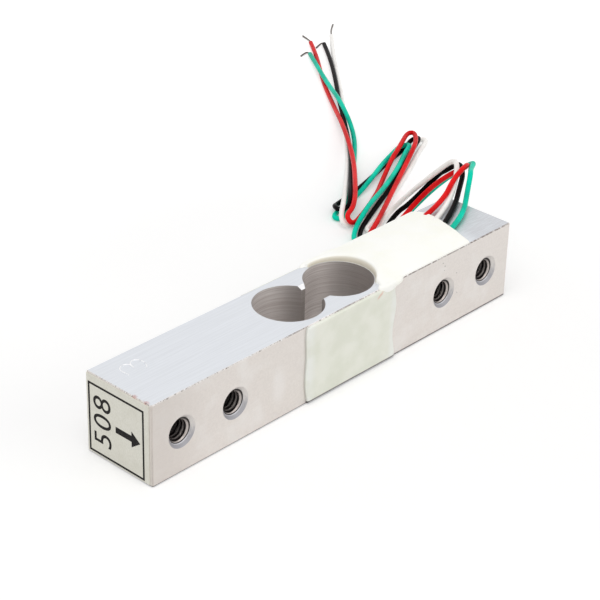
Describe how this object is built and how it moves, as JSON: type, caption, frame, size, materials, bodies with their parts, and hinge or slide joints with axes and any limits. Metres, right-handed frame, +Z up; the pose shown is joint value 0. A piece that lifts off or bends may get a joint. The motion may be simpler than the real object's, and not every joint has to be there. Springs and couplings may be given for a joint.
{
  "type": "weighing load cell",
  "caption": "Bar-type strain gauge load cell with a binocular opening, threaded holes near both ends, potted gauges and thin coloured leads.",
  "frame": {"origin": "middle of the bar on its base, midway between the two ends, leads left out", "axes": "+X along the bar towards the lead end, +Z up through the binocular opening, the tapped holes run along Y"},
  "size_m": [0.1414, 0.0975, 0.0164],
  "materials": {
    "bar": "milled and brushed, edges slightly broken",
    "gauge_coat": "soft silicone coat, satin",
    "potting": "soft silicone, satin",
    "gauge_film": "polyimide film",
    "gauge_foil": "etched resistance foil",
    "board": "glass-filled board",
    "solder": "tin solder",
    "tinned_copper": "tinned copper strands",
    "enamelled_copper": "enamelled copper",
    "sleeve_red": "soft PVC",
    "sleeve_white": "soft PVC",
    "sleeve_black": "soft PVC",
    "sleeve_green": "soft PVC",
    "label": "coated paper with black print"
  },
  "bodies": {
    "root": {"beam": "bar", "end_label": "label", "gauge_coat_back": "gauge_coat", "gauge_coat_front": "gauge_coat", "gauge_film_back_left": "gauge_film", "gauge_film_back_right": "gauge_film", "gauge_film_front_left": "gauge_film", "gauge_film_front_right": "gauge_film", "gauge_foil_back_left": "gauge_foil", "gauge_foil_back_right": "gauge_foil", "gauge_foil_front_left": "gauge_foil", "gauge_foil_front_right": "gauge_foil", "jumper_back_1": "enamelled_copper", "jumper_back_2": "enamelled_copper", "jumper_back_3": "enamelled_copper", "jumper_back_4": "enamelled_copper", "jumper_front_1": "enamelled_copper", "jumper_front_2": "enamelled_copper", "jumper_front_3": "enamelled_copper", "jumper_front_4": "enamelled_copper", "lead_black": "sleeve_black", "lead_core_black": "tinned_copper", "lead_core_green": "tinned_copper", "lead_core_red": "tinned_copper", "lead_core_white": "tinned_copper", "lead_green": "sleeve_green", "lead_red": "sleeve_red", "lead_tip_black": "tinned_copper", "lead_tip_green": "tinned_copper", "lead_tip_red": "tinned_copper", "lead_tip_white": "tinned_copper", "lead_white": "sleeve_white", "potting": "potting", "solder_joint_black": "solder", "solder_joint_green": "solder", "solder_joint_red": "solder", "solder_joint_white": "solder", "terminal_board": "board"}
  },
  "joints": []
}
